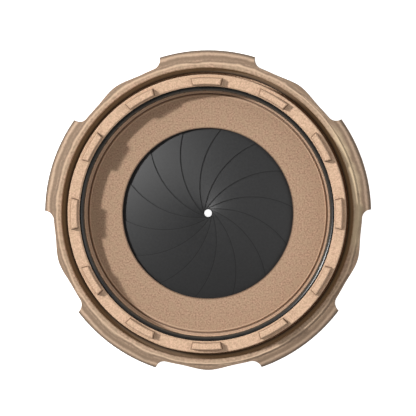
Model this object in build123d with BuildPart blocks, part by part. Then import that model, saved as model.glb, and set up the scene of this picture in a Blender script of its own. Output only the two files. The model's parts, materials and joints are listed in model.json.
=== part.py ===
"""Iris diaphragm that pushes onto a 42 mm objective: 14 leaves closed and opened by a lobed grip ring.

Z is the optical axis, with +Z out of the mouth. Z = 0 is the seat that the objective's rim rests on.
The leaves are drawn closed. Lengths are in millimetres and angles in degrees.
"""

from math import acos, asin, atan2, cos, degrees, radians, sin
import os

from build123d import *

# ---- driving dimensions ----
objective_radius = 21.0  # a 42 mm objective
bore_clearance = 0.2
bore_radius = objective_radius + bore_clearance
aperture_inset = 6.4  # opening in the base plate, inside the objective's radius
aperture_radius = objective_radius - aperture_inset
pinhole_radius = 0.633  # what the closed leaves leave open

leaf_count = 14
leaf_step = 360 / leaf_count
leaf_edge_gap = 0.1  # between the aperture and the open leaves
leaf_edge_radius = aperture_radius + leaf_edge_gap  # concave edge of a leaf
leaf_width = 5.5
leaf_sweep = 118.0  # of the leaf's centre line, between the centres of its round ends
leaf_thickness = 0.05
leaf_pitch_per_radian = 0.36  # each leaf winds down like one turn of a screw, so that none cuts another
leaf_twist_offset = 0.5  # screw axis of a closed leaf, off the optical axis
leaf_back_angle = 121.0  # from the pinhole round to the pivot end, about the screw axis
leaf_front_angle = 116.0  # from the pinhole round to the free end
leaf_clearance = 0.06  # above and below the stack
rim_crossing_angle = 3.7  # where the first leaf's edge passes under the aperture rim

pivot_offset = 0.55  # outboard of the leaf's centre line
pivot_circle_radius = leaf_edge_radius + leaf_width / 2 + pivot_offset
pin_radius = 0.45
pin_fit = 0.03  # pivot pin in its hole
slot_fit = 0.05  # drive pin in its cam slot
drive_pin_offset = 4.2  # from the pivot pin
drive_pin_outset = 3.3  # outside the pivot circle, leaves open
drive_pin_open_radius = pivot_circle_radius + drive_pin_outset
tab_radius = 0.9
ring_travel = 50.0

chamber_clearance = 0.2  # round the open leaves' tabs
chamber_radius = drive_pin_open_radius + tab_radius + chamber_clearance
flange_width = 2.46  # outside the chamber
flange_height = 1.2
flange_radius = chamber_radius + flange_width
flange_fit = 0.07  # inside the grip ring's bore
grip_bore_radius = flange_radius + flange_fit
retainer_fit = 0.03  # inside the grip ring's bore
retainer_outer_radius = grip_bore_radius - retainer_fit
retainer_width = 0.8
retainer_thickness = 1.6
retainer_inner_radius = retainer_outer_radius - retainer_width
retainer_gap = 0.3  # round the tube
retainer_chamfer = 0.15
retainer_bead_proud = 0.32  # of the grip ring's bore
retainer_bead_radius = grip_bore_radius + retainer_bead_proud
retainer_bead_bottom = 0.35  # above the retainer's lower face
retainer_bead_height = 0.8

seat_lip_width = 0.6  # inside the bore
seat_lip_radius = bore_radius - seat_lip_width
seat_lip_thickness = 0.3
seal_section = 1.4
seal_proud = 0.22  # how far the seal stands into the bore
seal_fit = 0.02  # behind the seal
seal_groove_play = 0.1  # beside the seal
seal_groove_bottom = 2.8
seal_groove_top = seal_groove_bottom + seal_section + seal_groove_play
seal_groove_radius = bore_radius - seal_proud + seal_section + seal_fit

mouth_step = 0.6  # outside the bore
mouth_radius = bore_radius + mouth_step
mouth_chamfer = 0.24
mouth_height = 0.8  # above the seal groove
tube_radius = retainer_inner_radius - retainer_gap
tube_chamfer = 0.12
rim_height = seal_groove_top + mouth_height
block_count = 12
block_height = 1.8
block_inner_radius = mouth_radius + mouth_chamfer
block_setback = 0.5  # inside the tube's outside
block_outer_radius = tube_radius - block_setback
block_width = 5.5  # at its outer edge
block_side_angle = 75.0  # between a block's outer edge and its sides
block_draft = 4.0
block_chamfer = 0.12

base_plate_thickness = 0.6
base_plate_fit = 0.1  # in the chamber
base_plate_radius = chamber_radius - base_plate_fit
base_plate_boss_gap = 0.3  # inside the seat lip
base_plate_boss_radius = seat_lip_radius - base_plate_boss_gap
pivot_hole_floor = 0.18
pivot_hole_depth = base_plate_thickness - pivot_hole_floor
pivot_pin_end_gap = 0.06  # below the end of its hole
drive_pin_end_gap = 0.1  # above the grip ring's floor
cam_plate_thickness = 0.85
cam_plate_fit = 0.2  # in the chamber
cam_plate_radius = chamber_radius - cam_plate_fit
cam_plate_setback = 0.3  # outside the leaves' edge
cam_plate_opening = leaf_edge_radius + cam_plate_setback

lug_count = 7  # round lugs under the cam plate that key it to the grip ring
lug_inset = 1.6  # outside the cam plate's opening
lug_circle_radius = cam_plate_opening + lug_inset
lug_radius = 0.8
lug_fit = 0.05
lug_length = 0.7
lug_end_gap = 0.1
lug_pocket_depth = lug_length + lug_end_gap

stop_pin_radius = 0.5
stop_pin_inset = 0.8  # outside the chamber
stop_pin_circle_radius = chamber_radius + stop_pin_inset
stop_pin_angle = 265.0
stop_pin_grip = 1.1  # length held in the housing
stop_pin_reach = 0.6  # length in the arc groove
stop_groove_fit = 0.1
stop_groove_end_gap = 0.1
stop_groove_depth = stop_pin_reach + stop_groove_end_gap
glide_thickness = 0.3
glide_fit = 0.08  # inside the grip ring's bore
glide_gap = 0.7  # outside the stop pin's circle
glide_inner_radius = stop_pin_circle_radius + glide_gap
running_gap = 0.05  # axial, between the housing's flange and what turns round it

grip_top = 2.2
grip_floor_thickness = 1.4
opening_setback = 0.2  # of the front opening, outside the cam plate's
opening_radius = cam_plate_opening + opening_setback
front_bevel_width = 2.0
front_bevel_height = 0.9
front_face_inner_radius = opening_radius + front_bevel_width
bezel_width = 0.87
bezel_radius = grip_bore_radius + bezel_width
bezel_height = 0.4
bezel_chamfer = 0.15
bezel_groove_width = 0.28
bezel_groove_fall = 0.1
crown_foot_radius = bezel_radius + bezel_groove_width

lobe_count = 5
lobe_first_angle = 18.25
lobe_half_width = 16.95
valley_wall = 1.39  # outside the grip ring's bore
valley_radius = grip_bore_radius + valley_wall
valley_angle = 10.0
bump_rise = 0.48  # of the swelling in the middle of a valley
bump_radius = valley_radius + bump_rise
shoulder_rise = 0.03
shoulder_radius = valley_radius + shoulder_rise
shoulder_fall = 0.05
shoulder_angle = 6.0
flank_hollow = 0.35  # depth of the hollow flank between lobe and shoulder, from its chord
flank_angle = 2.8
lobe_rise = 1.58
lobe_tip_radius = valley_radius + lobe_rise
crown_reach = 0.2  # of the crown's curve past the lobe tips
crown_radius = lobe_tip_radius + crown_reach
crown_shoulder_inset = 0.45
crown_shoulder_radius = lobe_tip_radius - crown_shoulder_inset
crown_shoulder_drop = 1.35
crown_drop = 3.1
front_round_height = 1.8  # of the rounding between the lobes' sides and the front face
front_round_width = 1.7
front_rim_radius = lobe_tip_radius - front_round_width
front_round_rise = 0.55

# ---- heights ----
base_plate_bottom = -base_plate_thickness
leaf_span = radians(leaf_back_angle + leaf_front_angle) * leaf_pitch_per_radian
leaf_top = base_plate_bottom - leaf_clearance
cam_plate_top = leaf_top - leaf_thickness - leaf_span - leaf_clearance
grip_floor_top = cam_plate_top - cam_plate_thickness
grip_bottom = grip_floor_top - grip_floor_thickness
flange_bottom = grip_floor_top + glide_thickness + running_gap
flange_top = flange_bottom + flange_height
retainer_bottom = flange_top + running_gap
retainer_top = retainer_bottom + retainer_thickness
bead_bottom = retainer_bottom + retainer_bead_bottom
bead_top = bead_bottom + retainer_bead_height

# ---- how a leaf swings ----
centre_throw = leaf_edge_radius - pinhole_radius  # closed leaf's edge centre, off the optical axis
leaf_swing = 2 * degrees(asin(centre_throw / 2 / pivot_circle_radius))
tangent_angle = 90 - leaf_swing / 2  # about the edge centre, from the pivot to the pinhole


def polar(radius, angle):
    """A point at this radius and angle about the optical axis."""
    return (radius * cos(radians(angle)), radius * sin(radians(angle)))


rim_angle = degrees(
    acos(
        (aperture_radius**2 + centre_throw**2 - leaf_edge_radius**2)
        / (2 * aperture_radius * centre_throw)
    )
)
centre_angle = rim_crossing_angle - rim_angle  # direction of the first leaf's edge centre
pivot_angle = centre_angle + tangent_angle
centre = polar(centre_throw, centre_angle)
pivot = polar(pivot_circle_radius, pivot_angle)
pivot_direction = centre_angle + 180 - tangent_angle  # from the edge centre

drive_pin_lean = degrees(
    acos(
        (drive_pin_open_radius**2 - pivot_circle_radius**2 - drive_pin_offset**2)
        / (2 * pivot_circle_radius * drive_pin_offset)
    )
)


def drive_pin_place(travel):
    """Centre of the first leaf's drive pin with the leaf this share of its swing open."""
    angle = pivot_direction + drive_pin_lean - leaf_swing * travel
    return (
        pivot[0] + drive_pin_offset * cos(radians(angle)),
        pivot[1] + drive_pin_offset * sin(radians(angle)),
    )


drive_pin = drive_pin_place(0)

os.makedirs("parts", exist_ok=True)

# ---- housing: castellated mouth, seal groove, seat lip, leaf chamber and flange, moulded in one ----
block_blank = 2 * (block_outer_radius - block_inner_radius)  # radial length before the bore cuts it
stop_place = polar(stop_pin_circle_radius, stop_pin_angle)

with BuildPart() as housing:
    with BuildSketch(Plane.XZ):
        with BuildLine():
            Polyline(
                (seat_lip_radius, -seat_lip_thickness),
                (seat_lip_radius, 0),
                (bore_radius, 0),
                (bore_radius, seal_groove_bottom),
                (seal_groove_radius, seal_groove_bottom),
                (seal_groove_radius, seal_groove_top),
                (mouth_radius, seal_groove_top),
                (mouth_radius, rim_height - mouth_chamfer),
                (mouth_radius + mouth_chamfer, rim_height),
                (tube_radius - tube_chamfer, rim_height),
                (tube_radius, rim_height - tube_chamfer),
                (tube_radius, flange_top),
                (flange_radius, flange_top),
                (flange_radius, flange_bottom),
                (chamber_radius, flange_bottom),
                (chamber_radius, -seat_lip_thickness),
                close=True,
            )
        make_face()
    revolve(axis=Axis.Z)
    with BuildSketch(Plane.XY.offset(rim_height)):
        with PolarLocations(block_outer_radius, block_count):
            Trapezoid(
                block_width,
                block_blank,
                block_side_angle,
                rotation=90,
                align=(Align.CENTER, Align.MIN),
            )
        Circle(block_outer_radius, mode=Mode.INTERSECT)
        Circle(block_inner_radius, mode=Mode.SUBTRACT)
    extrude(amount=block_height, taper=block_draft)
    chamfer(housing.edges().group_by(Axis.Z)[-1], length=block_chamfer)
    with BuildSketch(Plane.XY.offset(flange_bottom)):
        with Locations(stop_place):
            Circle(stop_pin_radius)
    extrude(amount=stop_pin_grip, mode=Mode.SUBTRACT)
housing.part.label = "housing"
export_step(housing.part, "parts/housing.step")

# ---- base plate: bonded under the seat lip, with a blind pivot hole for each leaf ----
boss_chamfer = 0.1

with BuildPart() as base_plate:
    with BuildSketch(Plane.XZ):
        with BuildLine():
            Polyline(
                (aperture_radius, base_plate_bottom),
                (aperture_radius, 0),
                (base_plate_boss_radius - boss_chamfer, 0),
                (base_plate_boss_radius, -boss_chamfer),
                (base_plate_boss_radius, -seat_lip_thickness),
                (base_plate_radius, -seat_lip_thickness),
                (base_plate_radius, base_plate_bottom),
                close=True,
            )
        make_face()
    revolve(axis=Axis.Z)
    with BuildSketch(Plane.XY.offset(base_plate_bottom)):
        with PolarLocations(pivot_circle_radius, leaf_count, start_angle=pivot_angle):
            Circle(pin_radius + pin_fit)
    extrude(amount=pivot_hole_depth, mode=Mode.SUBTRACT)
base_plate.part.label = "base_plate"
export_step(base_plate.part, "parts/base_plate.step")

# ---- seal ring: soft O-ring that grips the objective ----
seal_centre_radius = bore_radius - seal_proud + seal_section / 2
seal_height = (seal_groove_bottom + seal_groove_top) / 2

with BuildPart() as seal_ring:
    with Locations((0, 0, seal_height)):
        Torus(seal_centre_radius, seal_section / 2)
seal_ring.part.label = "seal_ring"
export_step(seal_ring.part, "parts/seal_ring.step")

# ---- stop pin: pressed into the flange, its end runs in the grip ring's arc groove ----
with BuildPart() as stop_pin:
    with BuildSketch(Plane.XY.offset(grip_floor_top - stop_pin_reach)):
        with Locations(stop_place):
            Circle(stop_pin_radius)
    extrude(amount=flange_bottom + stop_pin_grip - grip_floor_top + stop_pin_reach)
stop_pin.part.label = "stop_pin"
export_step(stop_pin.part, "parts/stop_pin.step")

# ---- leaves: thin spring leaves, each with a pivot pin above and a drive pin below ----
screw_axis = polar(leaf_twist_offset, centre_angle)
sheet_inner_radius = 0.9
sheet_overhang = 2.8  # past the open leaves' tabs
sheet_outer_radius = drive_pin_open_radius + tab_radius + sheet_overhang
sheet_bands = 3
sheet_half_turn = 136
sheet_turn_step = 8
leaf_pinhole_height = leaf_top - leaf_thickness - radians(leaf_back_angle) * leaf_pitch_per_radian
pivot_pin_top = base_plate_bottom + pivot_hole_depth - pivot_pin_end_gap
drive_pin_bottom = grip_floor_top + drive_pin_end_gap


def leaf_height(angle):
    """Height of a closed leaf's lower face at this angle past the pinhole about the screw axis."""
    return leaf_pinhole_height - radians(angle) * leaf_pitch_per_radian


def sheet_point(radius, angle):
    """A point on the lower face of the first leaf's sheet."""
    offset = polar(radius, centre_angle + 180 + angle)
    return Vector(screw_axis[0] + offset[0], screw_axis[1] + offset[1], leaf_height(angle))


def middle_height(place):
    """Height of the first leaf's middle at a place on it."""
    direction = degrees(atan2(place[1] - screw_axis[1], place[0] - screw_axis[0]))
    angle = (direction - centre_angle) % 360 - 180
    return leaf_height(angle) + leaf_thickness / 2


sheet_band_width = (sheet_outer_radius - sheet_inner_radius) / sheet_bands
sheet_radii = [sheet_inner_radius + band * sheet_band_width for band in range(sheet_bands + 1)]
sheet = Face.make_surface_from_array_of_points(
    [
        [sheet_point(radius, angle) for radius in sheet_radii]
        for angle in range(-sheet_half_turn, sheet_half_turn + 1, sheet_turn_step)
    ],
    tol=0.001,
)
tab_middle = ((pivot[0] + drive_pin[0]) / 2, (pivot[1] + drive_pin[1]) / 2)
tab_angle = pivot_direction + drive_pin_lean

with BuildPart() as leaf_prism:
    with BuildSketch(Plane.XY.offset(cam_plate_top)):
        with BuildLine():
            leaf_line = CenterArc(
                centre, leaf_edge_radius + leaf_width / 2, pivot_direction, leaf_sweep
            )
        SlotArc(leaf_line, leaf_width)
        with Locations(tab_middle):
            SlotOverall(drive_pin_offset + 2 * tab_radius, 2 * tab_radius, rotation=tab_angle)
    extrude(amount=base_plate_bottom - cam_plate_top)

with BuildPart() as first_blade:
    add(Solid.extrude(sheet, Vector(0, 0, leaf_thickness)) & leaf_prism.part)
    with BuildSketch(Plane.XY.offset(middle_height(pivot))):
        with Locations(pivot):
            Circle(pin_radius)
    extrude(amount=pivot_pin_top - middle_height(pivot))
    with BuildSketch(Plane.XY.offset(drive_pin_bottom)):
        with Locations(drive_pin):
            Circle(pin_radius)
    extrude(amount=middle_height(drive_pin) - drive_pin_bottom)

for number in range(leaf_count):
    blade = first_blade.part.rotate(Axis.Z, number * leaf_step)
    blade.label = f"blade_{number + 1:02d}"
    export_step(blade, f"parts/blade_{number + 1:02d}.step")

# ---- cam plate: a slot for each drive pin, keyed to the grip ring by lugs underneath ----
slot_points = []
for travel in (0, 0.5, 1):
    place = Vector(*drive_pin_place(travel)).rotate(Axis.Z, ring_travel * travel)
    slot_points.append((place.X, place.Y))

with BuildPart() as cam_plate:
    with BuildSketch(Plane.XY.offset(grip_floor_top)):
        Circle(cam_plate_radius)
        Circle(cam_plate_opening, mode=Mode.SUBTRACT)
    extrude(amount=cam_plate_thickness)
    with BuildSketch(Plane.XY.offset(grip_floor_top)):
        with BuildLine():
            slot_line = ThreePointArc(*slot_points)
        with PolarLocations(0, leaf_count):
            SlotArc(slot_line, 2 * (pin_radius + slot_fit))
    extrude(amount=cam_plate_thickness, mode=Mode.SUBTRACT)
    with BuildSketch(Plane.XY.offset(grip_floor_top)):
        with PolarLocations(lug_circle_radius, lug_count):
            Circle(lug_radius)
    extrude(amount=-lug_length)
cam_plate.part.label = "cam_plate"
export_step(cam_plate.part, "parts/cam_plate.step")

# ---- grip ring: lobed cup round the housing, with the front opening in its floor ----
front_round_top = grip_bottom + front_round_height
crown_top = grip_top - bezel_height - bezel_groove_fall

with BuildPart() as grip_ring:
    with BuildSketch(Plane.XY.offset(grip_bottom)):
        with BuildLine():
            for number in range(lobe_count):
                lobe = lobe_first_angle + number * 360 / lobe_count
                near = lobe + lobe_half_width
                middle = lobe + 180 / lobe_count
                far = 2 * middle - near
                ThreePointArc(
                    polar(lobe_tip_radius, lobe - lobe_half_width),
                    polar(lobe_tip_radius, lobe),
                    polar(lobe_tip_radius, near),
                )
                SagittaArc(
                    polar(lobe_tip_radius, near),
                    polar(shoulder_radius, near + flank_angle),
                    flank_hollow,
                )
                Spline(
                    polar(shoulder_radius, near + flank_angle),
                    polar(shoulder_radius - shoulder_fall, near + shoulder_angle),
                    polar(valley_radius, near + valley_angle),
                    polar(bump_radius, middle),
                    polar(valley_radius, far - valley_angle),
                    polar(shoulder_radius - shoulder_fall, far - shoulder_angle),
                    polar(shoulder_radius, far - flank_angle),
                )
                SagittaArc(
                    polar(shoulder_radius, far - flank_angle),
                    polar(lobe_tip_radius, far),
                    flank_hollow,
                )
        make_face()
    extrude(amount=grip_top - grip_bottom)
    with BuildSketch(Plane.XZ):
        with BuildLine():
            Polyline(
                (front_rim_radius, grip_bottom),
                (front_face_inner_radius, grip_bottom),
                (opening_radius, grip_bottom + front_bevel_height),
                (opening_radius, grip_floor_top),
                (grip_bore_radius, grip_floor_top),
                (grip_bore_radius, bead_bottom),
                (retainer_bead_radius, bead_bottom),
                (retainer_bead_radius, bead_top),
                (grip_bore_radius, bead_top),
                (grip_bore_radius, grip_top - bezel_chamfer),
                (grip_bore_radius + bezel_chamfer, grip_top),
                (bezel_radius, grip_top),
                (bezel_radius, crown_top + bezel_groove_fall),
                (crown_foot_radius, crown_top),
            )
            ThreePointArc(
                (crown_foot_radius, crown_top),
                (crown_shoulder_radius, grip_top - crown_shoulder_drop),
                (crown_radius, grip_top - crown_drop),
            )
            Line((crown_radius, grip_top - crown_drop), (crown_radius, front_round_top))
            ThreePointArc(
                (crown_radius, front_round_top),
                (crown_shoulder_radius, grip_bottom + front_round_rise),
                (front_rim_radius, grip_bottom),
            )
        make_face()
    revolve(axis=Axis.Z, mode=Mode.INTERSECT)
    with BuildSketch(Plane.XY.offset(grip_floor_top)):
        with BuildLine():
            stop_line = CenterArc((0, 0), stop_pin_circle_radius, stop_pin_angle, ring_travel)
        SlotArc(stop_line, 2 * (stop_pin_radius + stop_groove_fit))
    extrude(amount=-stop_groove_depth, mode=Mode.SUBTRACT)
    with BuildSketch(Plane.XY.offset(grip_floor_top)):
        with PolarLocations(lug_circle_radius, lug_count):
            Circle(lug_radius + lug_fit)
    extrude(amount=-lug_pocket_depth, mode=Mode.SUBTRACT)
grip_ring.part.label = "grip_ring"
export_step(grip_ring.part, "parts/grip_ring.step")

# ---- glide ring: low-friction washer on the grip ring's floor, under the housing's flange ----
with BuildPart() as glide_ring:
    with BuildSketch(Plane.XY.offset(grip_floor_top)):
        Circle(grip_bore_radius - glide_fit)
        Circle(glide_inner_radius, mode=Mode.SUBTRACT)
    extrude(amount=glide_thickness)
glide_ring.part.label = "glide_ring"
export_step(glide_ring.part, "parts/glide_ring.step")

# ---- retaining ring: moulded, its outer bead snaps into the grip ring's groove over the flange ----
with BuildPart() as retaining_ring:
    with BuildSketch(Plane.XZ):
        with BuildLine():
            Polyline(
                (retainer_inner_radius, retainer_bottom),
                (retainer_outer_radius, retainer_bottom),
                (retainer_outer_radius, bead_bottom),
                (retainer_bead_radius, bead_bottom),
                (retainer_outer_radius, bead_top),
                (retainer_outer_radius, retainer_top),
                (retainer_inner_radius + retainer_chamfer, retainer_top),
                (retainer_inner_radius, retainer_top - retainer_chamfer),
                close=True,
            )
        make_face()
    revolve(axis=Axis.Z)
retaining_ring.part.label = "retaining_ring"
export_step(retaining_ring.part, "parts/retaining_ring.step")
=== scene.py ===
import json
import math

import bpy
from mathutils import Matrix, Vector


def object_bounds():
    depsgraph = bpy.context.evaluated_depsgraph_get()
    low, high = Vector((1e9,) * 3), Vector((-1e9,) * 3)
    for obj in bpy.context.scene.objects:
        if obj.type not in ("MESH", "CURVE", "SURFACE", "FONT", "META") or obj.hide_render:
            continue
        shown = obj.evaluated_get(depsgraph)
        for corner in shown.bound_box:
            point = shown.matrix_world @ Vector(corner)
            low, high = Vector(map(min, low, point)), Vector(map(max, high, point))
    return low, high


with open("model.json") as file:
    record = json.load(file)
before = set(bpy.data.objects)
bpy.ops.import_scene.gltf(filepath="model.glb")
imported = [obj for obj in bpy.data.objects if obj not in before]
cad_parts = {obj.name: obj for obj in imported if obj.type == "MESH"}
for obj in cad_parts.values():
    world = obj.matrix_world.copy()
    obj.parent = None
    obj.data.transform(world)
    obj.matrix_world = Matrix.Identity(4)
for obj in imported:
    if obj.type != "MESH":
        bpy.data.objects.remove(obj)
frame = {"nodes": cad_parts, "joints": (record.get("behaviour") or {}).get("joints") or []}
cad_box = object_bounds()
nodes = frame["nodes"]
scene = bpy.context.scene


# ---- Housing ----
# The fixed body: a castellated tube that pushes onto the objective, moulded in sandy tan polymer
# with a fine spark-eroded grain. The seal groove, seat lip and leaf chamber are moulded with it.
def new_group(name, inputs, outputs):
    """An empty node group with these sockets, and its input and output nodes."""
    group = bpy.data.node_groups.new(name, "ShaderNodeTree")
    for title, kind, default in inputs:
        socket = group.interface.new_socket(name=title, in_out="INPUT", socket_type=kind)
        socket.default_value = default
    for title, kind in outputs:
        group.interface.new_socket(name=title, in_out="OUTPUT", socket_type=kind)
    return group, group.nodes.new("NodeGroupInput"), group.nodes.new("NodeGroupOutput")


moulded_grain, grain_in, grain_out = new_group(
    "Moulded Grain",
    [
        ("Light Colour", "NodeSocketColor", (0.5, 0.3, 0.2, 1)),
        ("Dark Colour", "NodeSocketColor", (0.3, 0.2, 0.1, 1)),
        ("Tint Colour", "NodeSocketColor", (0.5, 0.4, 0.2, 1)),
        ("Grain Scale", "NodeSocketFloat", 5000.0),
        ("Mottle Scale", "NodeSocketFloat", 1100.0),
        ("Tint Amount", "NodeSocketFloat", 0.3),
        ("Streak Scale", "NodeSocketFloat", 3000.0),
        ("Streak Amount", "NodeSocketFloat", 0.1),
    ],
    [
        ("Colour", "NodeSocketColor"),
        ("Height", "NodeSocketFloat"),
        ("Roughness", "NodeSocketFloat"),
    ],
)
grain_place = moulded_grain.nodes.new("ShaderNodeTexCoord")
fine_grain = moulded_grain.nodes.new("ShaderNodeTexNoise")
fine_grain.inputs["Detail"].default_value = 3.0
fine_grain.inputs["Roughness"].default_value = 0.6
mottle = moulded_grain.nodes.new("ShaderNodeTexNoise")
mottle.inputs["Detail"].default_value = 2.0
grain_steps = moulded_grain.nodes.new("ShaderNodeMapRange")
grain_steps.inputs["From Min"].default_value = 0.36
grain_steps.inputs["From Max"].default_value = 0.64
mottle_steps = moulded_grain.nodes.new("ShaderNodeMapRange")
mottle_steps.inputs["From Min"].default_value = 0.35
mottle_steps.inputs["From Max"].default_value = 0.65
tint_amount = moulded_grain.nodes.new("ShaderNodeMath")
tint_amount.operation = "MULTIPLY"
grain_colour = moulded_grain.nodes.new("ShaderNodeMix")
grain_colour.data_type = "RGBA"
tinted_colour = moulded_grain.nodes.new("ShaderNodeMix")
tinted_colour.data_type = "RGBA"
grain_flat = moulded_grain.nodes.new("ShaderNodeVectorMath")
grain_flat.operation = "MULTIPLY"
grain_flat.inputs[1].default_value = (1.0, 1.0, 0.0)
grain_radius = moulded_grain.nodes.new("ShaderNodeVectorMath")
grain_radius.operation = "LENGTH"
streaks = moulded_grain.nodes.new("ShaderNodeTexNoise")
streaks.noise_dimensions = "1D"
streaks.inputs["Detail"].default_value = 2.0
streak_steps = moulded_grain.nodes.new("ShaderNodeMapRange")
streak_steps.inputs["From Min"].default_value = 0.35
streak_steps.inputs["From Max"].default_value = 0.65
grain_facing = moulded_grain.nodes.new("ShaderNodeNewGeometry")
grain_axes = moulded_grain.nodes.new("ShaderNodeSeparateXYZ")
grain_turned_up = moulded_grain.nodes.new("ShaderNodeMapRange")
grain_turned_up.interpolation_type = "SMOOTHSTEP"
grain_turned_up.inputs["From Min"].default_value = 0.2
grain_turned_up.inputs["From Max"].default_value = 0.5
streak_strength = moulded_grain.nodes.new("ShaderNodeMath")
streak_strength.operation = "MULTIPLY"
streak_amount = moulded_grain.nodes.new("ShaderNodeMath")
streak_amount.operation = "MULTIPLY"
streaked_colour = moulded_grain.nodes.new("ShaderNodeMix")
streaked_colour.data_type = "RGBA"
grain_roughness = moulded_grain.nodes.new("ShaderNodeMapRange")
grain_roughness.inputs["To Min"].default_value = 0.62
grain_roughness.inputs["To Max"].default_value = 0.8
link = moulded_grain.links.new
link(grain_place.outputs["Object"], fine_grain.inputs["Vector"])
link(grain_in.outputs["Grain Scale"], fine_grain.inputs["Scale"])
link(grain_place.outputs["Object"], mottle.inputs["Vector"])
link(grain_in.outputs["Mottle Scale"], mottle.inputs["Scale"])
link(fine_grain.outputs["Fac"], grain_steps.inputs["Value"])
link(mottle.outputs["Fac"], mottle_steps.inputs["Value"])
link(grain_steps.outputs["Result"], grain_colour.inputs["Factor"])
link(grain_in.outputs["Dark Colour"], grain_colour.inputs["A"])
link(grain_in.outputs["Light Colour"], grain_colour.inputs["B"])
link(mottle_steps.outputs["Result"], tint_amount.inputs[0])
link(grain_in.outputs["Tint Amount"], tint_amount.inputs[1])
link(tint_amount.outputs[0], tinted_colour.inputs["Factor"])
link(grain_colour.outputs["Result"], tinted_colour.inputs["A"])
link(grain_in.outputs["Tint Colour"], tinted_colour.inputs["B"])
link(grain_place.outputs["Object"], grain_flat.inputs[0])
link(grain_flat.outputs["Vector"], grain_radius.inputs[0])
link(grain_radius.outputs["Value"], streaks.inputs["W"])
link(grain_in.outputs["Streak Scale"], streaks.inputs["Scale"])
link(streaks.outputs["Fac"], streak_steps.inputs["Value"])
link(grain_facing.outputs["True Normal"], grain_axes.inputs["Vector"])
link(grain_axes.outputs["Z"], grain_turned_up.inputs["Value"])
link(grain_turned_up.outputs["Result"], streak_strength.inputs[0])
link(grain_in.outputs["Streak Amount"], streak_strength.inputs[1])
link(streak_steps.outputs["Result"], streak_amount.inputs[0])
link(streak_strength.outputs[0], streak_amount.inputs[1])
link(streak_amount.outputs[0], streaked_colour.inputs["Factor"])
link(tinted_colour.outputs["Result"], streaked_colour.inputs["A"])
link(grain_in.outputs["Dark Colour"], streaked_colour.inputs["B"])
link(streaked_colour.outputs["Result"], grain_out.inputs["Colour"])
link(fine_grain.outputs["Fac"], grain_out.inputs["Height"])
link(fine_grain.outputs["Fac"], grain_roughness.inputs["Value"])
link(grain_roughness.outputs["Result"], grain_out.inputs["Roughness"])


ring_band, band_in, band_out = new_group(
    "Ring Band",
    [
        ("Colour", "NodeSocketColor", (0.5, 0.3, 0.2, 1)),
        ("Band Colour", "NodeSocketColor", (0.1, 0.06, 0.04, 1)),
        ("Radius", "NodeSocketFloat", 0.02),
        ("Half Width", "NodeSocketFloat", 0.0005),
        ("Amount", "NodeSocketFloat", 0.5),
        ("Wander", "NodeSocketFloat", 0.0),
    ],
    [("Colour", "NodeSocketColor")],
)
band_place = ring_band.nodes.new("ShaderNodeTexCoord")
band_flat = ring_band.nodes.new("ShaderNodeVectorMath")
band_flat.operation = "MULTIPLY"
band_flat.inputs[1].default_value = (1.0, 1.0, 0.0)
band_radius = ring_band.nodes.new("ShaderNodeVectorMath")
band_radius.operation = "LENGTH"
band_drift = ring_band.nodes.new("ShaderNodeTexNoise")
band_drift.inputs["Scale"].default_value = 260.0
band_drift.inputs["Detail"].default_value = 2.5
band_drift_middle = ring_band.nodes.new("ShaderNodeMath")
band_drift_middle.operation = "SUBTRACT"
band_drift_middle.inputs[1].default_value = 0.5
band_wander = ring_band.nodes.new("ShaderNodeMath")
band_wander.operation = "MULTIPLY"
band_moved = ring_band.nodes.new("ShaderNodeMath")
band_moved.operation = "ADD"
band_offset = ring_band.nodes.new("ShaderNodeMath")
band_offset.operation = "SUBTRACT"
band_distance = ring_band.nodes.new("ShaderNodeMath")
band_distance.operation = "ABSOLUTE"
band_mask = ring_band.nodes.new("ShaderNodeMapRange")
band_mask.interpolation_type = "SMOOTHSTEP"
band_mask.inputs["To Min"].default_value = 1.0
band_mask.inputs["To Max"].default_value = 0.0
band_facing = ring_band.nodes.new("ShaderNodeNewGeometry")
band_axes = ring_band.nodes.new("ShaderNodeSeparateXYZ")
turned_up = ring_band.nodes.new("ShaderNodeMapRange")
turned_up.interpolation_type = "SMOOTHSTEP"
turned_up.inputs["From Min"].default_value = 0.1
turned_up.inputs["From Max"].default_value = 0.35
band_strength = ring_band.nodes.new("ShaderNodeMath")
band_strength.operation = "MULTIPLY"
band_amount = ring_band.nodes.new("ShaderNodeMath")
band_amount.operation = "MULTIPLY"
banded_colour = ring_band.nodes.new("ShaderNodeMix")
banded_colour.data_type = "RGBA"
link = ring_band.links.new
link(band_place.outputs["Object"], band_flat.inputs[0])
link(band_flat.outputs["Vector"], band_radius.inputs[0])
link(band_flat.outputs["Vector"], band_drift.inputs["Vector"])
link(band_drift.outputs["Fac"], band_drift_middle.inputs[0])
link(band_drift_middle.outputs[0], band_wander.inputs[0])
link(band_in.outputs["Wander"], band_wander.inputs[1])
link(band_radius.outputs["Value"], band_moved.inputs[0])
link(band_wander.outputs[0], band_moved.inputs[1])
link(band_moved.outputs[0], band_offset.inputs[0])
link(band_in.outputs["Radius"], band_offset.inputs[1])
link(band_offset.outputs[0], band_distance.inputs[0])
link(band_distance.outputs[0], band_mask.inputs["Value"])
link(band_in.outputs["Half Width"], band_mask.inputs["From Max"])
link(band_facing.outputs["True Normal"], band_axes.inputs["Vector"])
link(band_axes.outputs["Z"], turned_up.inputs["Value"])
link(turned_up.outputs["Result"], band_strength.inputs[0])
link(band_in.outputs["Amount"], band_strength.inputs[1])
link(band_mask.outputs["Result"], band_amount.inputs[0])
link(band_strength.outputs[0], band_amount.inputs[1])
link(band_amount.outputs[0], banded_colour.inputs["Factor"])
link(band_in.outputs["Colour"], banded_colour.inputs["A"])
link(band_in.outputs["Band Colour"], banded_colour.inputs["B"])
link(banded_colour.outputs["Result"], band_out.inputs["Colour"])


def new_material(name):
    """A material with its shader, ready for links."""
    material = bpy.data.materials.new(name)
    material.use_nodes = True
    return material, material.node_tree, material.node_tree.nodes["Principled BSDF"]


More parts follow.
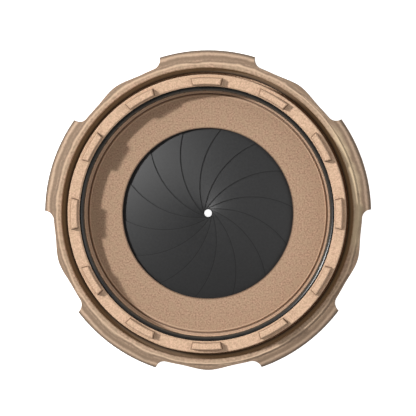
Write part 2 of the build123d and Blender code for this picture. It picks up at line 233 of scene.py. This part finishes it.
def moulded_polymer(
    name, light, dark, tint, grain_scale, mottle_scale, tint_amount, depth, streak=0.1, bands=()
):
    """Grained polymer: a speckled colour and a fine bump from one moulded grain.

    Each band is a ring of painted shade or painted highlight: its radius, half width, colour,
    strength, and how far its line wanders.
    """
    material, tree, shader = new_material(name)
    grain = tree.nodes.new("ShaderNodeGroup")
    grain.node_tree = moulded_grain
    grain.inputs["Light Colour"].default_value = (*light, 1)
    grain.inputs["Dark Colour"].default_value = (*dark, 1)
    grain.inputs["Tint Colour"].default_value = (*tint, 1)
    grain.inputs["Grain Scale"].default_value = grain_scale
    grain.inputs["Mottle Scale"].default_value = mottle_scale
    grain.inputs["Tint Amount"].default_value = tint_amount
    grain.inputs["Streak Amount"].default_value = streak
    colour = grain.outputs["Colour"]
    for radius, half_width, band_colour, amount, wander in bands:
        band = tree.nodes.new("ShaderNodeGroup")
        band.node_tree = ring_band
        band.inputs["Radius"].default_value = radius
        band.inputs["Half Width"].default_value = half_width
        band.inputs["Band Colour"].default_value = (*band_colour, 1)
        band.inputs["Amount"].default_value = amount
        band.inputs["Wander"].default_value = wander
        tree.links.new(colour, band.inputs["Colour"])
        colour = band.outputs["Colour"]
    bump = tree.nodes.new("ShaderNodeBump")
    bump.inputs["Strength"].default_value = 0.6
    bump.inputs["Distance"].default_value = depth
    tree.links.new(colour, shader.inputs["Base Color"])
    tree.links.new(grain.outputs["Roughness"], shader.inputs["Roughness"])
    tree.links.new(grain.outputs["Height"], bump.inputs["Height"])
    tree.links.new(bump.outputs["Normal"], shader.inputs["Normal"])
    shader.inputs["Specular IOR Level"].default_value = 0.3
    return material


def dress(node, material):
    """Gives a CAD node this finish on every slot."""
    piece = nodes[node]
    piece.data.materials.clear()
    piece.data.materials.append(material)


housing_tan = moulded_polymer(
    "housing tan",
    light=(0.63, 0.42, 0.288),
    dark=(0.39, 0.248, 0.163),
    tint=(0.47, 0.34, 0.212),
    grain_scale=3800.0,
    mottle_scale=1300.0,
    tint_amount=0.35,
    depth=0.00003,
    # Painted shade: a darker ring on the seat lip, at the foot of the bore under the seal.
    bands=[(0.0208, 0.0003, (0.30, 0.205, 0.145), 0.6, 0.0)],
)
block_pitch = 2 * math.pi / 12
block_inner_radius = 0.02204
block_outer_radius = 0.0233
block_half_width = 0.00275  # at its outer edge
block_side_lean = math.tan(math.radians(15))
block_foot = 0.00505
# Painted shade: a dark line along each block's foot on the rim, stronger at the block's ends,
# where the corner lies in shade.
foot_shade_width = 0.00013
side_shade = 0.35  # along a block's long sides
extra_end_shade = 0.6  # on top of that, at its ends

block_tree = housing_tan.node_tree
block_place = block_tree.nodes.new("ShaderNodeTexCoord")
block_axes = block_tree.nodes.new("ShaderNodeSeparateXYZ")
block_flat = block_tree.nodes.new("ShaderNodeVectorMath")
block_flat.operation = "MULTIPLY"
block_flat.inputs[1].default_value = (1.0, 1.0, 0.0)
block_radius = block_tree.nodes.new("ShaderNodeVectorMath")
block_radius.operation = "LENGTH"
link = block_tree.links.new
link(block_place.outputs["Object"], block_axes.inputs["Vector"])
link(block_place.outputs["Object"], block_flat.inputs[0])
link(block_flat.outputs["Vector"], block_radius.inputs[0])


def block_sum(operation, first, second):
    """One step of the working out of the painted shade round a block's foot."""
    step = block_tree.nodes.new("ShaderNodeMath")
    step.operation = operation
    for socket, value in zip(step.inputs, (first, second)):
        if isinstance(value, float):
            socket.default_value = value
        else:
            link(value, socket)
    return step.outputs[0]


turn = block_sum("ARCTAN2", block_axes.outputs["Y"], block_axes.outputs["X"])
turn_off_block = block_sum("PINGPONG", turn, block_pitch / 2)
reach = block_radius.outputs["Value"]
across = block_sum("MULTIPLY", block_sum("SINE", turn_off_block, 0.0), reach)
along = block_sum("MULTIPLY", block_sum("COSINE", turn_off_block, 0.0), reach)
short_of_outside = block_sum("SUBTRACT", along, block_outer_radius)
side_taper = block_sum("MULTIPLY", short_of_outside, block_side_lean)
past_side = block_sum("SUBTRACT", across, block_sum("ADD", side_taper, block_half_width))
past_outside = block_sum("SUBTRACT", reach, block_outer_radius)
past_inside = block_sum("SUBTRACT", block_inner_radius, reach)
past_length = block_sum("MAXIMUM", past_outside, past_inside)
past_edge = block_sum("MAXIMUM", past_side, past_length)
at_an_end = block_sum("GREATER_THAN", past_side, past_length)
line_strength = block_sum("ADD", block_sum("MULTIPLY", at_an_end, extra_end_shade), side_shade)
foot_shade_line = block_tree.nodes.new("ShaderNodeMapRange")  # only along a block's own foot
foot_shade_line.interpolation_type = "SMOOTHSTEP"
foot_shade_line.inputs["From Max"].default_value = foot_shade_width
foot_shade_line.inputs["To Min"].default_value = 1.0
foot_shade_line.inputs["To Max"].default_value = 0.0
link(block_sum("ABSOLUTE", past_edge, 0.0), foot_shade_line.inputs["Value"])
foot_shade = block_sum("MULTIPLY", foot_shade_line.outputs["Result"], line_strength)
on_rim = block_sum("GREATER_THAN", block_axes.outputs["Z"], block_foot)
foot_shaded_colour = block_tree.nodes.new("ShaderNodeMix")
foot_shaded_colour.data_type = "RGBA"
foot_shaded_colour.blend_type = "MULTIPLY"
foot_shaded_colour.inputs["B"].default_value = (0.22, 0.16, 0.12, 1)
block_shader = block_tree.nodes["Principled BSDF"]
link(block_shader.inputs["Base Color"].links[0].from_socket, foot_shaded_colour.inputs["A"])
link(block_sum("MULTIPLY", foot_shade, on_rim), foot_shaded_colour.inputs["Factor"])
link(foot_shaded_colour.outputs["Result"], block_shader.inputs["Base Color"])
dress("housing", housing_tan)

# ---- Seal ring ----
# A soft black rubber O-ring in the groove behind the castellated rim. It is moulded smooth,
# with a faint dusty bloom, and grips the objective's tube.
rubber, rubber_tree, rubber_shader = new_material("seal rubber")
rubber_place = rubber_tree.nodes.new("ShaderNodeTexCoord")
bloom = rubber_tree.nodes.new("ShaderNodeTexNoise")
bloom.inputs["Scale"].default_value = 700.0
bloom.inputs["Detail"].default_value = 4.0
bloom_colour = rubber_tree.nodes.new("ShaderNodeValToRGB")
bloom_colour.color_ramp.elements[0].color = (0.004, 0.0035, 0.003, 1)
bloom_colour.color_ramp.elements[1].color = (0.013, 0.011, 0.009, 1)
bloom_roughness = rubber_tree.nodes.new("ShaderNodeMapRange")
bloom_roughness.inputs["To Min"].default_value = 0.2
bloom_roughness.inputs["To Max"].default_value = 0.36
rubber_tree.links.new(rubber_place.outputs["Object"], bloom.inputs["Vector"])
rubber_tree.links.new(bloom.outputs["Fac"], bloom_colour.inputs["Fac"])
rubber_tree.links.new(bloom.outputs["Fac"], bloom_roughness.inputs["Value"])
# A paler brown band along the seal's inner edge.
seal_inner_band = rubber_tree.nodes.new("ShaderNodeGroup")
seal_inner_band.node_tree = ring_band
seal_inner_band.inputs["Radius"].default_value = 0.02105
seal_inner_band.inputs["Half Width"].default_value = 0.0004
seal_inner_band.inputs["Band Colour"].default_value = (0.11, 0.085, 0.062, 1)
seal_inner_band.inputs["Amount"].default_value = 0.5
rubber_tree.links.new(bloom_colour.outputs["Color"], seal_inner_band.inputs["Colour"])
rubber_tree.links.new(seal_inner_band.outputs["Colour"], rubber_shader.inputs["Base Color"])
rubber_tree.links.new(bloom_roughness.outputs["Result"], rubber_shader.inputs["Roughness"])
rubber_shader.inputs["Specular IOR Level"].default_value = 0.35
dress("seal_ring", rubber)

# ---- Base plate ----
# The fixed plate round the aperture, moulded in the same tan polymer with a little more speckle,
# bonded under the seat lip. The leaves' pivot pins turn in blind holes in its underside.
plate_tan = moulded_polymer(
    "base plate tan",
    light=(0.44, 0.28, 0.186),
    dark=(0.235, 0.143, 0.091),
    tint=(0.33, 0.235, 0.145),
    grain_scale=3600.0,
    mottle_scale=900.0,
    tint_amount=0.5,
    depth=0.00003,
    bands=[
        # Painted shade along the aperture's edge, a painted highlight on the chamfer by the seat,
        # and painted shadow in the gap beyond it.
        (0.0146, 0.00028, (0.07, 0.04, 0.025), 0.85, 0.0),
        (0.0202, 0.00022, (0.62, 0.44, 0.31), 0.6, 0.0),
        (0.0205, 0.00022, (0.08, 0.045, 0.028), 0.8, 0.0),
    ],
)
dress("base_plate", plate_tan)

# ---- Leaves ----
# Fourteen thin spring-steel leaves, blackened and matt, each with a pivot pin riveted in above
# and a drive pin below. Bump alone makes them look slightly domed, and a painted shade line
# darkens each leaf's edge where it lies over the next: the solids are neither domed nor edged.
leaf_count = 14
leaf_edge_radius = 0.0147
leaf_edge_throw = 0.014067  # centre of a closed leaf's concave edge, off the optical axis
leaf_swing = math.radians(46.0)
leaf_dome = 6.3  # fall of the bump per metre squared off the optical axis
edge_shade_width = 0.00016

leaf_finish, leaf_in, leaf_out = new_group(
    "Leaf Finish",
    [
        ("Edge Centre", "NodeSocketVector", (0.0, 0.0, 0.0)),
        ("Edge Radius", "NodeSocketFloat", leaf_edge_radius),
        ("Line Width", "NodeSocketFloat", edge_shade_width),
        ("Dome", "NodeSocketFloat", leaf_dome),
    ],
    [
        ("Colour", "NodeSocketColor"),
        ("Height", "NodeSocketFloat"),
        ("Roughness", "NodeSocketFloat"),
    ],
)
leaf_place = leaf_finish.nodes.new("ShaderNodeTexCoord")
leaf_flat = leaf_finish.nodes.new("ShaderNodeVectorMath")
leaf_flat.operation = "MULTIPLY"
leaf_flat.inputs[1].default_value = (1.0, 1.0, 0.0)
leaf_grain = leaf_finish.nodes.new("ShaderNodeTexNoise")
leaf_grain.inputs["Scale"].default_value = 2500.0
leaf_grain.inputs["Detail"].default_value = 3.0
leaf_colour = leaf_finish.nodes.new("ShaderNodeValToRGB")
leaf_colour.color_ramp.elements[0].position = 0.3
leaf_colour.color_ramp.elements[0].color = (0.0095, 0.0095, 0.01, 1)
leaf_colour.color_ramp.elements[1].position = 0.7
leaf_colour.color_ramp.elements[1].color = (0.0135, 0.0135, 0.014, 1)
edge_distance = leaf_finish.nodes.new("ShaderNodeVectorMath")
edge_distance.operation = "DISTANCE"
edge_depth = leaf_finish.nodes.new("ShaderNodeMath")
edge_depth.operation = "SUBTRACT"
# Painted shade: a dark line along the leaf's concave edge, where it lies over the next leaf.
edge_shade_line = leaf_finish.nodes.new("ShaderNodeMapRange")
edge_shade_line.interpolation_type = "SMOOTHSTEP"
edge_shade_line.inputs["From Min"].default_value = 0.0
edge_shade_line.inputs["To Min"].default_value = 1.0
edge_shade_line.inputs["To Max"].default_value = 0.0
edge_shade_colour = leaf_finish.nodes.new("ShaderNodeMix")
edge_shade_colour.data_type = "RGBA"
edge_shade_colour.inputs["B"].default_value = (0.006, 0.006, 0.006, 1)
leaf_roughness = leaf_finish.nodes.new("ShaderNodeMapRange")
leaf_roughness.inputs["To Min"].default_value = 0.42
leaf_roughness.inputs["To Max"].default_value = 0.5
edge_roughness = leaf_finish.nodes.new("ShaderNodeMix")
edge_roughness.inputs["B"].default_value = 0.85
leaf_reach = leaf_finish.nodes.new("ShaderNodeVectorMath")
leaf_reach.operation = "DOT_PRODUCT"
leaf_fall = leaf_finish.nodes.new("ShaderNodeMath")
leaf_fall.operation = "MULTIPLY"
leaf_rise = leaf_finish.nodes.new("ShaderNodeMath")
leaf_rise.operation = "MULTIPLY"
leaf_rise.inputs[1].default_value = -1.0
link = leaf_finish.links.new
link(leaf_place.outputs["Object"], leaf_grain.inputs["Vector"])
link(leaf_place.outputs["Object"], leaf_flat.inputs[0])
link(leaf_flat.outputs["Vector"], edge_distance.inputs[0])
link(leaf_in.outputs["Edge Centre"], edge_distance.inputs[1])
link(edge_distance.outputs["Value"], edge_depth.inputs[0])
link(leaf_in.outputs["Edge Radius"], edge_depth.inputs[1])
link(edge_depth.outputs[0], edge_shade_line.inputs["Value"])
link(leaf_in.outputs["Line Width"], edge_shade_line.inputs["From Max"])
link(leaf_grain.outputs["Fac"], leaf_colour.inputs["Fac"])
link(leaf_colour.outputs["Color"], edge_shade_colour.inputs["A"])
link(edge_shade_line.outputs["Result"], edge_shade_colour.inputs["Factor"])
link(edge_shade_colour.outputs["Result"], leaf_out.inputs["Colour"])
link(leaf_grain.outputs["Fac"], leaf_roughness.inputs["Value"])
link(leaf_roughness.outputs["Result"], edge_roughness.inputs["A"])
link(edge_shade_line.outputs["Result"], edge_roughness.inputs["Factor"])
link(edge_roughness.outputs["Result"], leaf_out.inputs["Roughness"])
link(leaf_flat.outputs["Vector"], leaf_reach.inputs[0])
link(leaf_flat.outputs["Vector"], leaf_reach.inputs[1])
link(leaf_reach.outputs["Value"], leaf_fall.inputs[0])
link(leaf_in.outputs["Dome"], leaf_fall.inputs[1])
link(leaf_fall.outputs[0], leaf_rise.inputs[0])
link(leaf_rise.outputs[0], leaf_out.inputs["Height"])

pivot_places = {joint["child"]: joint["pos_m"] for joint in frame["joints"]}
for number in range(leaf_count):
    leaf_black, leaf_tree, leaf_shader = new_material(f"leaf black {number + 1:02d}")
    pivot = pivot_places[f"leaf_{number + 1:02d}"]
    edge_direction = math.atan2(pivot[1], pivot[0]) - (math.pi - leaf_swing) / 2
    finish = leaf_tree.nodes.new("ShaderNodeGroup")
    finish.node_tree = leaf_finish
    finish.inputs["Edge Centre"].default_value = (
        leaf_edge_throw * math.cos(edge_direction),
        leaf_edge_throw * math.sin(edge_direction),
        0.0,
    )
    leaf_bump = leaf_tree.nodes.new("ShaderNodeBump")
    leaf_bump.inputs["Distance"].default_value = 1.0
    leaf_tree.links.new(finish.outputs["Colour"], leaf_shader.inputs["Base Color"])
    leaf_tree.links.new(finish.outputs["Roughness"], leaf_shader.inputs["Roughness"])
    leaf_tree.links.new(finish.outputs["Height"], leaf_bump.inputs["Height"])
    leaf_tree.links.new(leaf_bump.outputs["Normal"], leaf_shader.inputs["Normal"])
    leaf_shader.inputs["Specular IOR Level"].default_value = 0.42
    dress(f"blade_{number + 1:02d}", leaf_black)

# ---- Cam plate ----
# The slotted plate that swings the leaves: thin aluminium, blanked and anodised matt black,
# keyed into the grip ring's floor by round lugs.
anodised, anodised_tree, anodised_shader = new_material("cam plate black")
anodised_place = anodised_tree.nodes.new("ShaderNodeTexCoord")
anodised_noise = anodised_tree.nodes.new("ShaderNodeTexNoise")
anodised_noise.inputs["Scale"].default_value = 2500.0
anodised_colour = anodised_tree.nodes.new("ShaderNodeValToRGB")
anodised_colour.color_ramp.elements[0].color = (0.012, 0.012, 0.013, 1)
anodised_colour.color_ramp.elements[1].color = (0.03, 0.03, 0.032, 1)
anodised_tree.links.new(anodised_place.outputs["Object"], anodised_noise.inputs["Vector"])
anodised_tree.links.new(anodised_noise.outputs["Fac"], anodised_colour.inputs["Fac"])
anodised_tree.links.new(anodised_colour.outputs["Color"], anodised_shader.inputs["Base Color"])
anodised_shader.inputs["Metallic"].default_value = 0.6
anodised_shader.inputs["Roughness"].default_value = 0.5
dress("cam_plate", anodised)

# ---- Grip ring ----
# The lobed cup that the fingers turn, moulded in tan polymer with a coarser grain. It carries
# the cam plate, and its floor has the front opening.
grip_tan = moulded_polymer(
    "grip ring tan",
    light=(0.54, 0.37, 0.258),
    dark=(0.27, 0.18, 0.12),
    tint=(0.37, 0.285, 0.185),
    grain_scale=2600.0,
    mottle_scale=700.0,
    tint_amount=0.45,
    depth=0.00006,
    streak=0.5,
    bands=[
        # Painted highlights and shade for the crown's form: a highlight at the bezel's edge,
        # painted shade in the valley beyond it, a highlight on the crown, and painted shade where
        # its outer edge falls away.
        (0.02575, 0.0003, (0.68, 0.50, 0.35), 0.55, 0.0005),
        (0.0261, 0.00034, (0.15, 0.10, 0.066), 0.65, 0.0012),
        (0.0267, 0.0008, (0.18, 0.12, 0.078), 0.8, 0.0008),
        (0.0273, 0.00035, (0.62, 0.44, 0.315), 0.5, 0.0006),
        (0.02795, 0.0006, (0.085, 0.06, 0.042), 0.9, 0.0),
    ],
)
# Painted light: a paler, wavy-edged patch by the right lobe that lightens that side of the bezel.
lit_patch_middle = (0.0250, 0.0045, 0.006)  # of a paler, wavy-edged patch by the right lobe
lit_patch_reach_full = 0.009
lit_patch_reach_end = 0.013
grip_tree = grip_tan.node_tree
grip_place = grip_tree.nodes.new("ShaderNodeTexCoord")
lit_patch_reach = grip_tree.nodes.new("ShaderNodeVectorMath")
lit_patch_reach.operation = "DISTANCE"
lit_patch_reach.inputs[1].default_value = lit_patch_middle
lit_patch_side = grip_tree.nodes.new("ShaderNodeMapRange")
lit_patch_side.interpolation_type = "SMOOTHSTEP"
lit_patch_side.inputs["From Min"].default_value = lit_patch_reach_full
lit_patch_side.inputs["From Max"].default_value = lit_patch_reach_end
lit_patch_side.inputs["To Min"].default_value = 1.0
lit_patch_side.inputs["To Max"].default_value = 0.0
lit_patch_ring = grip_tree.nodes.new("ShaderNodeGroup")
lit_patch_ring.node_tree = ring_band
lit_patch_ring.inputs["Radius"].default_value = 0.0256
lit_patch_ring.inputs["Half Width"].default_value = 0.0014
lit_patch_ring.inputs["Band Colour"].default_value = (0.54, 0.42, 0.27, 1)
lit_patch_ring.inputs["Amount"].default_value = 0.85
lit_patch_ring.inputs["Wander"].default_value = 0.0022
lit_patch_colour = grip_tree.nodes.new("ShaderNodeMix")
lit_patch_colour.data_type = "RGBA"
link = grip_tree.links.new
grip_shader = grip_tree.nodes["Principled BSDF"]
grip_colour = grip_shader.inputs["Base Color"].links[0].from_socket
link(grip_place.outputs["Object"], lit_patch_reach.inputs[0])
link(lit_patch_reach.outputs["Value"], lit_patch_side.inputs["Value"])
link(grip_colour, lit_patch_ring.inputs["Colour"])
link(grip_colour, lit_patch_colour.inputs["A"])
link(lit_patch_ring.outputs["Colour"], lit_patch_colour.inputs["B"])
link(lit_patch_side.outputs["Result"], lit_patch_colour.inputs["Factor"])
link(lit_patch_colour.outputs["Result"], grip_shader.inputs["Base Color"])
dress("grip_ring", grip_tan)

# ---- Glide ring ----
# A flat washer of white low-friction plastic, cut from sheet, on the grip ring's floor under
# the housing's flange.
glide_white = moulded_polymer(
    "glide ring white",
    light=(0.80, 0.79, 0.75),
    dark=(0.70, 0.69, 0.65),
    tint=(0.74, 0.72, 0.66),
    grain_scale=3000.0,
    mottle_scale=900.0,
    tint_amount=0.3,
    depth=0.00001,
)
dress("glide_ring", glide_white)

# ---- Retaining ring ----
# A full ring moulded in the grip ring's polymer. Its outer bead snaps into the grip ring over
# the flange, and holds the grip ring on.
# Painted shade: a near-black line along the ring's inner edge, where the narrow gap to the tube
# lies in shade.
gap_shade_radius = 0.0241
gap_shade_half_width = 0.00055
gap_shade_amount = 0.9
# Painted shade: the ring's colour is a dark brown far below the grip ring's tan, standing in for
# the deep shade of the groove it sits in.
retainer_shade_and_glow = moulded_polymer(
    "retaining ring painted shade",
    light=(0.105, 0.068, 0.042),
    dark=(0.07, 0.042, 0.025),
    tint=(0.085, 0.06, 0.036),
    grain_scale=2600.0,
    mottle_scale=700.0,
    tint_amount=0.4,
    depth=0.00004,
    bands=[
        (gap_shade_radius, gap_shade_half_width, (0.012, 0.008, 0.005), gap_shade_amount, 0.0)
    ],
)
retainer_tree = retainer_shade_and_glow.node_tree
retainer_shader = retainer_tree.nodes["Principled BSDF"]
# Painted glow: the ring gives off light that stands in for light bounced into the groove.
retainer_painted_glow = retainer_tree.nodes.new("ShaderNodeGroup")  # light bounced in the groove
retainer_painted_glow.node_tree = ring_band
retainer_painted_glow.inputs["Colour"].default_value = (0.092, 0.052, 0.024, 1)
retainer_painted_glow.inputs["Band Colour"].default_value = (0.006, 0.0035, 0.002, 1)
retainer_painted_glow.inputs["Radius"].default_value = gap_shade_radius
retainer_painted_glow.inputs["Half Width"].default_value = gap_shade_half_width
retainer_painted_glow.inputs["Amount"].default_value = gap_shade_amount
retainer_tree.links.new(retainer_painted_glow.outputs["Colour"], retainer_shader.inputs["Emission Color"])
retainer_shader.inputs["Emission Strength"].default_value = 0.75
dress("retaining_ring", retainer_shade_and_glow)

# ---- Stop pin ----
# A ground steel pin pressed into the flange. Its end runs in the grip ring's arc groove and
# stops the turn at both ends.
steel, steel_tree, steel_shader = new_material("ground steel")
steel_place = steel_tree.nodes.new("ShaderNodeTexCoord")
steel_noise = steel_tree.nodes.new("ShaderNodeTexNoise")
steel_noise.inputs["Scale"].default_value = 1800.0
steel_colour = steel_tree.nodes.new("ShaderNodeValToRGB")
steel_colour.color_ramp.elements[0].color = (0.3, 0.29, 0.28, 1)
steel_colour.color_ramp.elements[1].color = (0.5, 0.49, 0.48, 1)
steel_tree.links.new(steel_place.outputs["Object"], steel_noise.inputs["Vector"])
steel_tree.links.new(steel_noise.outputs["Fac"], steel_colour.inputs["Fac"])
steel_tree.links.new(steel_colour.outputs["Color"], steel_shader.inputs["Base Color"])
steel_shader.inputs["Metallic"].default_value = 1.0
steel_shader.inputs["Roughness"].default_value = 0.35
dress("stop_pin", steel)

# ---- Floor ----
# A plain white sheet under the iris, which shows through the pinhole. It is clear from below, so
# that the front of the iris can be seen.
floor_size = 1.2
floor_gap = 0.00003
bpy.ops.mesh.primitive_plane_add(size=floor_size, location=(0, 0, cad_box[0][2] - floor_gap))
floor = bpy.context.object
floor.name = "floor"
floor_white, floor_tree, floor_shader = new_material("floor white")
floor_shader.inputs["Base Color"].default_value = (0.6, 0.6, 0.6, 1)
floor_shader.inputs["Emission Color"].default_value = (1, 1, 1, 1)
floor_shader.inputs["Emission Strength"].default_value = 1.0
floor_shader.inputs["Roughness"].default_value = 0.9
floor_rays = floor_tree.nodes.new("ShaderNodeLightPath")
floor_facing = floor_tree.nodes.new("ShaderNodeNewGeometry")
floor_seen = floor_tree.nodes.new("ShaderNodeMath")
floor_seen.operation = "SUBTRACT"
floor_seen.use_clamp = True
floor_clear = floor_tree.nodes.new("ShaderNodeBsdfTransparent")
floor_mix = floor_tree.nodes.new("ShaderNodeMixShader")
floor_end = floor_tree.nodes["Material Output"]
floor_tree.links.new(floor_rays.outputs["Is Camera Ray"], floor_seen.inputs[0])
floor_tree.links.new(floor_facing.outputs["Backfacing"], floor_seen.inputs[1])
floor_tree.links.new(floor_seen.outputs[0], floor_mix.inputs["Fac"])
floor_tree.links.new(floor_clear.outputs["BSDF"], floor_mix.inputs[1])
floor_tree.links.new(floor_shader.outputs["BSDF"], floor_mix.inputs[2])
floor_tree.links.new(floor_mix.outputs["Shader"], floor_end.inputs["Surface"])
floor.data.materials.append(floor_white)

# ---- Camera ----
# Far off and almost straight down the optical axis, two degrees to the right of it and one
# above, framed a little above the iris's centre.
image_pixels = 416
metres_per_pixel = 0.000171
camera_distance = 3.0
frame_centre = (0.00003, 0.00093)
lean_right = 0.034
lean_up = 0.017
camera_data = bpy.data.cameras.new("camera")
camera_data.sensor_width = 36.0
camera_data.lens = 36.0 * camera_distance / (image_pixels * metres_per_pixel)
camera = bpy.data.objects.new("camera", camera_data)
camera.location = (
    frame_centre[0] + camera_distance * lean_right,
    frame_centre[1] + camera_distance * lean_up,
    camera_distance,
)
camera.rotation_euler = (-math.atan(lean_up), math.atan(lean_right), 0)
scene.collection.objects.link(camera)
scene.camera = camera

# ---- Studio light ----
# A key from the upper left, a wide weak fill from the right, and a pale surround that is darker
# overhead and away from the key.
key_direction = 158.0
key_height = 53.0
key_data = bpy.data.lights.new("key", "SUN")
key_data.energy = 3.1
key_data.angle = math.radians(5.0)
key = bpy.data.objects.new("key", key_data)
key.rotation_euler = (0, math.radians(90 - key_height), math.radians(key_direction))
scene.collection.objects.link(key)

fill_direction = 10.0
fill_height = 55.0
fill_data = bpy.data.lights.new("fill", "SUN")
fill_data.energy = 0.65
fill_data.angle = math.radians(40.0)
fill = bpy.data.objects.new("fill", fill_data)
fill.rotation_euler = (0, math.radians(90 - fill_height), math.radians(fill_direction))
scene.collection.objects.link(fill)

world = bpy.data.worlds.new("surround")
world.use_nodes = True
world_place = world.node_tree.nodes.new("ShaderNodeTexCoord")
world_axes = world.node_tree.nodes.new("ShaderNodeSeparateXYZ")
world_fall = world.node_tree.nodes.new("ShaderNodeMapRange")
world_fall.interpolation_type = "SMOOTHSTEP"
world_fall.inputs["From Min"].default_value = 0.55
world_fall.inputs["From Max"].default_value = 0.95
world_fall.inputs["To Min"].default_value = 0.75
world_fall.inputs["To Max"].default_value = 0.14
world.node_tree.links.new(world_place.outputs["Generated"], world_axes.inputs["Vector"])
world.node_tree.links.new(world_axes.outputs["Z"], world_fall.inputs["Value"])
world_below = world.node_tree.nodes.new("ShaderNodeMapRange")
world_below.inputs["From Min"].default_value = -0.1
world_below.inputs["From Max"].default_value = 0.05
world_below.inputs["To Min"].default_value = 0.6
world_lift = world.node_tree.nodes.new("ShaderNodeMath")
world_lift.operation = "MULTIPLY"
world_side = world.node_tree.nodes.new("ShaderNodeVectorMath")
world_side.operation = "DOT_PRODUCT"
world_side.inputs[1].default_value = (-0.8, 0.6, 0.0)
side_fall = world.node_tree.nodes.new("ShaderNodeMapRange")
side_fall.inputs["From Min"].default_value = -1.0
side_fall.inputs["To Min"].default_value = 0.85
side_fall.inputs["To Max"].default_value = 1.15
world_strength = world.node_tree.nodes.new("ShaderNodeMath")
world_strength.operation = "MULTIPLY"
world.node_tree.links.new(world_place.outputs["Generated"], world_side.inputs[0])
world.node_tree.links.new(world_side.outputs["Value"], side_fall.inputs["Value"])
world.node_tree.links.new(world_axes.outputs["Z"], world_below.inputs["Value"])
world.node_tree.links.new(world_fall.outputs["Result"], world_lift.inputs[0])
world.node_tree.links.new(world_below.outputs["Result"], world_lift.inputs[1])
world.node_tree.links.new(world_lift.outputs[0], world_strength.inputs[0])
world.node_tree.links.new(side_fall.outputs["Result"], world_strength.inputs[1])
world_rays = world.node_tree.nodes.new("ShaderNodeLightPath")
world_seen = world.node_tree.nodes.new("ShaderNodeMix")
world_seen.inputs["B"].default_value = 1.0
world.node_tree.links.new(world_rays.outputs["Is Camera Ray"], world_seen.inputs["Factor"])
world.node_tree.links.new(world_strength.outputs[0], world_seen.inputs["A"])
world.node_tree.links.new(
    world_seen.outputs["Result"], world.node_tree.nodes["Background"].inputs["Strength"]
)
world.node_tree.nodes["Background"].inputs["Color"].default_value = (1, 1, 1, 1)
scene.world = world
scene.view_settings.view_transform = "Standard"
